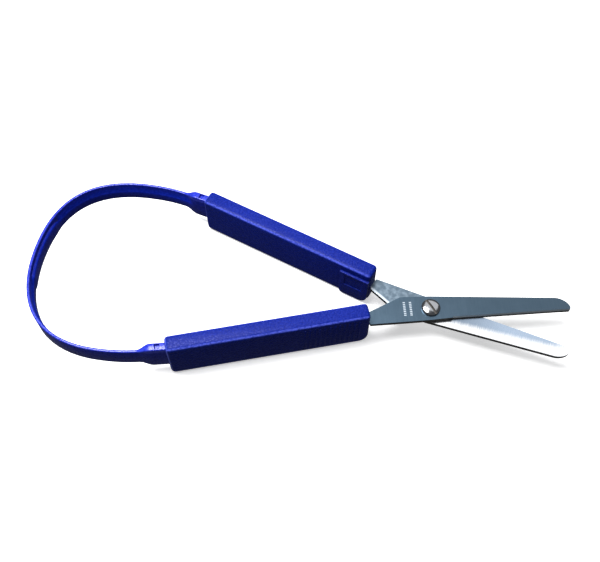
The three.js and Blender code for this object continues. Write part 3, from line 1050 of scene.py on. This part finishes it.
@dataclass
class LoopSpring:
    """The flexible band with its necks, made as two halves that meet at the back of the loop."""

    layout: Layout
    middle: float = 10.6 * MM
    thickness: float = 1.8 * MM
    height: float = 8.4 * MM
    bulge: float = 4.2 * MM
    shoulder: float = 26.3 * MM
    length: float = 62.6 * MM
    lean: float = 2.75 * MM
    side_pull: float = 10.1 * MM
    neck_pull_share: float = 0.5
    shoulder_pull: float = 27.25 * MM
    back_pull: float = 21.25 * MM
    neck_thickness: float = 3.2 * MM
    neck_height: float = 12.0 * MM
    neck_length: float = 5.8 * MM
    neck_flare: float = 5.0 * MM
    inside_grip: float = 3.0 * MM
    bead_proud: float = 0.6 * MM
    bead_top: float = 0.58
    bead_lap: float = 0.3
    ledge_crest: float = 0.3 * MM
    ledge_foot: float = 0.9 * MM
    toe_height: float = 1.1 * MM
    toe: Vector = field(default_factory=lambda: Vector((0.25 * MM, 0.35 * MM)))
    toe_width: float = 0.7 * MM
    pad_top: float = 0.76
    pad_proud: float = 0.4 * MM
    pad_start: float = 0.73
    pad_step: float = 0.03
    soft_start: float = 3.0
    notch_back: float = 1.8 * MM
    notch_size: float = 2.2 * MM
    notch_rim: float = 0.12 * MM
    notch_draft: float = 0.06 * MM
    notch_depth: float = 1.0 * MM
    edge: float = 0.42 * MM
    corner_bend: float = 70.0
    sharp_bend: float = 55.0
    side_steps: int = 16
    rear_steps: int = 52

    def build(self) -> None:
        """Build and dress both halves of the loop."""
        # The loop's upper edge and the necks' tops get a painted highlight.
        material = LOOP_PLASTIC.material(TopHighlight(self.middle + self.height / 2))
        for half in Half:
            self._half_loop(half, material)

    def _half_loop(self, half: Half, material: bpy.types.Material) -> None:
        """Sweep the section from inside the grip to the back of the loop."""
        stations = self._stations(half)
        back = stations[-1].centre
        mesh = self._swept(stations)
        long_edges = [edge for edge in mesh.edges if self._is_long_corner(edge)]
        bevel_edges(mesh, long_edges, self.edge, 3)
        self._sink_notch(mesh, half)
        loop = finish_piece(mesh, f"loop_{half.label}_side", self.sharp_bend)
        loop.data.materials.append(material)
        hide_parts("loop_spring")
        neck = self._sided(self.layout.grip_end(), half)
        far = neck + (back - neck) * 2
        if half is Half.REAR:
            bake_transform(loop)
        else:
            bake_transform(loop)
        LOG.info("built %s", loop.name)

    def _swept(self, stations: list[Station]) -> bmesh.types.BMesh:
        """The closed band through all the given sections."""
        mesh = bmesh.new()
        rings = [[mesh.verts.new(place) for place in self._section(station)] for station in stations]
        loops = [[mesh.edges.new(pair) for pair in zip(ring, [*ring[1:], ring[0]])] for ring in rings]
        for before, after in zip(loops, loops[1:]):
            bmesh.ops.bridge_loops(mesh, edges=[*before, *after])
        for ring in (rings[0], rings[-1]):
            mesh.faces.new(ring)
        bmesh.ops.recalc_face_normals(mesh, faces=mesh.faces)
        return mesh

    def _is_long_corner(self, edge: bmesh.types.BMEdge) -> bool:
        """True for a square corner that runs along the band, not round one of its ends."""
        return all(len(face.verts) == 4 for face in edge.link_faces) and bends_more(edge, self.corner_bend)

    @staticmethod
    def _sided(point: Vector, half: Half) -> Vector:
        """A place given for the front half, mirrored for the rear half. The front grip lies at -Y."""
        return Vector((point.x, point.y * half.value, point.z))

    def _stations(self, half: Half) -> list[Station]:
        """All the sections of one half, from inside the grip to the back of the loop."""
        end = self.layout.grip_end()
        angle = self.layout.neck_angle()
        outwards = Vector((-math.cos(angle), -math.sin(angle), 0.0))
        neck_end = end + outwards * self.neck_length
        shoulder = Vector((end.x - self.shoulder, end.y - self.bulge, 0.0))
        back = Vector((end.x - self.length, self.lean * half.value, 0.0))
        places = (-self.inside_grip, self.notch_back, self.notch_back + self.notch_size, self.neck_length)
        path = [(end + outwards * place, 1.0, 0.0) for place in places]
        side = interpolate_bezier(
            neck_end,
            neck_end + outwards * self.side_pull * self.neck_pull_share,
            shoulder + Vector((self.side_pull, 0.0, 0.0)),
            shoulder,
            self.side_steps + 1,
        )
        rear = interpolate_bezier(
            shoulder,
            shoulder - Vector((self.shoulder_pull, 0.0, 0.0)),
            back - Vector((0.0, self.back_pull, 0.0)),
            back,
            self.rear_steps + 1,
        )
        for index, point in enumerate([*side[1:], *rear[1:]]):
            rear_share = (index + 1 - self.side_steps) / self.rear_steps
            neck_share = 1 - smooth((point - neck_end).length / self.neck_flare)
            path.append((point, neck_share, self._pad_share(half, rear_share)))
        points = [step[0] for step in path]
        ahead = [*points[1:], points[-1] + Vector((0.0, 1.0, 0.0))]
        behind = [points[0] - outwards, *points[:-1]]
        stations = []
        for (point, neck, pad), after, before in zip(path, ahead, behind):
            along = (after - point).normalized() + (point - before).normalized()
            outer = self._sided(Vector((along.y, -along.x, 0.0)).normalized() * -1.0, half)
            stations.append(Station(self._sided(point, half), outer, neck, pad))
        return stations

    def _pad_share(self, half: Half, rear_share: float) -> float:
        """Share of the back pad's thickness at one place; it starts softly on the rear side only."""
        run = self.pad_step * (self.soft_start if half is Half.REAR else 1.0)
        return smooth((rear_share - self.pad_start) / run)

    def _section(self, station: Station) -> list[Vector]:
        """The section's corners, round from the outer bottom."""
        reach = mix(self.thickness, self.neck_thickness, station.neck) / 2
        high = mix(self.height, self.neck_height, station.neck) / 2
        bead = self.bead_proud * (1 - station.neck)
        proud = reach + self.pad_proud * station.pad
        top, bottom = self.middle + high, self.middle - high
        ledge = mix(bottom, top, mix(self.bead_top, self.pad_top, station.pad))
        corners = (
            (reach, bottom),
            (reach, top),
            (bead - reach, top),
            (bead - reach, ledge),
            (bead * self.bead_lap - proud, ledge - self.ledge_crest),
            (-proud, ledge - self.ledge_foot),
            (-proud, bottom + self.toe_height),
            (self.toe.x - proud, bottom + self.toe.y),
            (self.toe_width - proud, bottom),
        )
        return [station.centre + station.outer * side + UP * height for side, height in corners]

    def _sink_notch(self, mesh: bmesh.types.BMesh, half: Half) -> None:
        """Sink the square recess in the neck's upper side."""
        end = self._sided(self.layout.grip_end(), half)
        top = self.middle + self.neck_height / 2
        wanted = self.notch_back + self.notch_size / 2
        mesh.normal_update()
        level = [
            face
            for face in mesh.faces
            if abs(face.normal.z) > LEVEL and all(abs(vert.co.z - top) < SAME_PLACE for vert in face.verts)
        ]
        panel = min(level, key=lambda face: abs((face.calc_center_median() - end).xy.length - wanted))
        for width in (self.notch_rim, self.notch_draft):
            bmesh.ops.inset_region(mesh, faces=[panel], thickness=width)
        bmesh.ops.translate(mesh, verts=panel.verts, vec=(0.0, 0.0, -self.notch_depth))


def smooth(share: float) -> float:
    """Rise smoothly from 0 to 1."""
    share = min(1.0, max(0.0, share))
    return share * share * (3 - 2 * share)


def mix(first: float, second: float, share: float) -> float:
    """A value between two others."""
    return first + (second - first) * share


# ---------------------------------------------------------------- stage


@dataclass(frozen=True)
class SoftLight:
    """A square area light that stands off from the middle of the scissors and points at it."""

    name: str
    offset: Vector
    size: float
    power: float


KEY_LIGHT = SoftLight("key", offset=Vector((-0.2, 0.05, 0.6)), size=0.36, power=7.0)
CARD_LIGHT = SoftLight("card", offset=Vector((0.12, 0.46, 0.62)), size=0.8, power=2.2)


@dataclass
class Studio:
    """Pale floor, soft lights and the camera; angles in degrees."""

    layout: Layout
    azimuth: float = 9.26
    elevation: float = 57.56
    distance: float = 0.298
    lens: float = 44.9
    clip_start: float = 0.01
    aim_from_pivot: Vector = field(default_factory=lambda: Vector((-51.96 * MM, 5.55 * MM, 0.0)))
    aim_height: float = 9.3 * MM
    floor_reach: float = 3.0
    floor_gap: float = 0.05 * MM
    floor_glow: float = 0.5
    paper_patch: float = 0.4
    paper_dark: Colour = (0.9, 0.9, 0.9)
    paper_light: Colour = (0.93, 0.93, 0.93)
    room_grey: Colour = (0.5, 0.51, 0.53)
    room_light: float = 0.26

    def build(self) -> None:
        """Make the whole stage."""
        self._floor()
        self._world()
        for light in (KEY_LIGHT, CARD_LIGHT):
            self._light(light)
        self._camera()
        bpy.context.scene.view_settings.view_transform = "Standard"

    def _aim(self) -> Vector:
        """The point the camera looks at."""
        pivot = self.layout.pivot
        return Vector((pivot.x, pivot.y, self.aim_height)) + self.aim_from_pivot

    def _floor(self) -> None:
        """A wide pale floor."""
        mesh = bmesh.new()
        under = Matrix.Translation((0.0, 0.0, -self.floor_gap))
        bmesh.ops.create_grid(mesh, x_segments=1, y_segments=1, size=self.floor_reach, matrix=under)
        floor = finish_piece(mesh, "floor")
        graph = Graph("floor_paper")
        shade = graph.noise(graph.place(), self.paper_patch)
        tint = graph.mix(shade, self.paper_dark, self.paper_light)
        glow = {"Emission Color": (1.0, 1.0, 1.0, 1.0), "Emission Strength": self.floor_glow}
        floor.data.materials.append(graph.surface({"Base Color": tint, "Roughness": 0.9, **glow}))
        floor.visible_diffuse = False
        floor.visible_glossy = False

    def _world(self) -> None:
        """Even pale surroundings."""
        world = bpy.data.worlds.new("room")
        world.use_nodes = True
        background = world.node_tree.nodes["Background"]
        background.inputs["Color"].default_value = (*self.room_grey, 1.0)
        background.inputs["Strength"].default_value = self.room_light
        bpy.context.scene.world = world

    def _light(self, light: SoftLight) -> None:
        """Hang one light."""
        data = bpy.data.lights.new(light.name, "AREA")
        data.shape = "SQUARE"
        data.size = light.size
        data.energy = light.power
        lamp = bpy.data.objects.new(light.name, data)
        lamp.location = self._aim() + light.offset
        lamp.rotation_mode = "QUATERNION"
        lamp.rotation_quaternion = (-light.offset).to_track_quat("-Z", "Y")
        bpy.context.scene.collection.objects.link(lamp)

    def _camera(self) -> None:
        """The camera, level and aimed at the middle of the scissors."""
        data = bpy.data.cameras.new("camera")
        data.lens = self.lens
        turn, rise = math.radians(self.azimuth), math.radians(self.elevation)
        back = Vector((math.sin(turn) * math.cos(rise), -math.cos(turn) * math.cos(rise), math.sin(rise)))
        camera = bpy.data.objects.new("camera", data)
        camera.location = self._aim() + back * self.distance
        camera.rotation_mode = "QUATERNION"
        camera.rotation_quaternion = (-back).to_track_quat("-Z", "Y")
        data.clip_start = self.clip_start
        bpy.context.scene.collection.objects.link(camera)
        bpy.context.scene.camera = camera


def main() -> None:
    """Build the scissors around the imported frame."""
    logging.basicConfig(level=logging.INFO)
    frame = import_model()
    pivot = Vector(frame["joints"][0]["pos_m"])
    layout = Layout(pivot)
    Studio(layout).build()
    Blades(frame, layout).build()
    Pivot(frame, layout).build()
    Grips(layout).build()
    LoopSpring(layout).build()


if __name__ == "__main__":
    main()
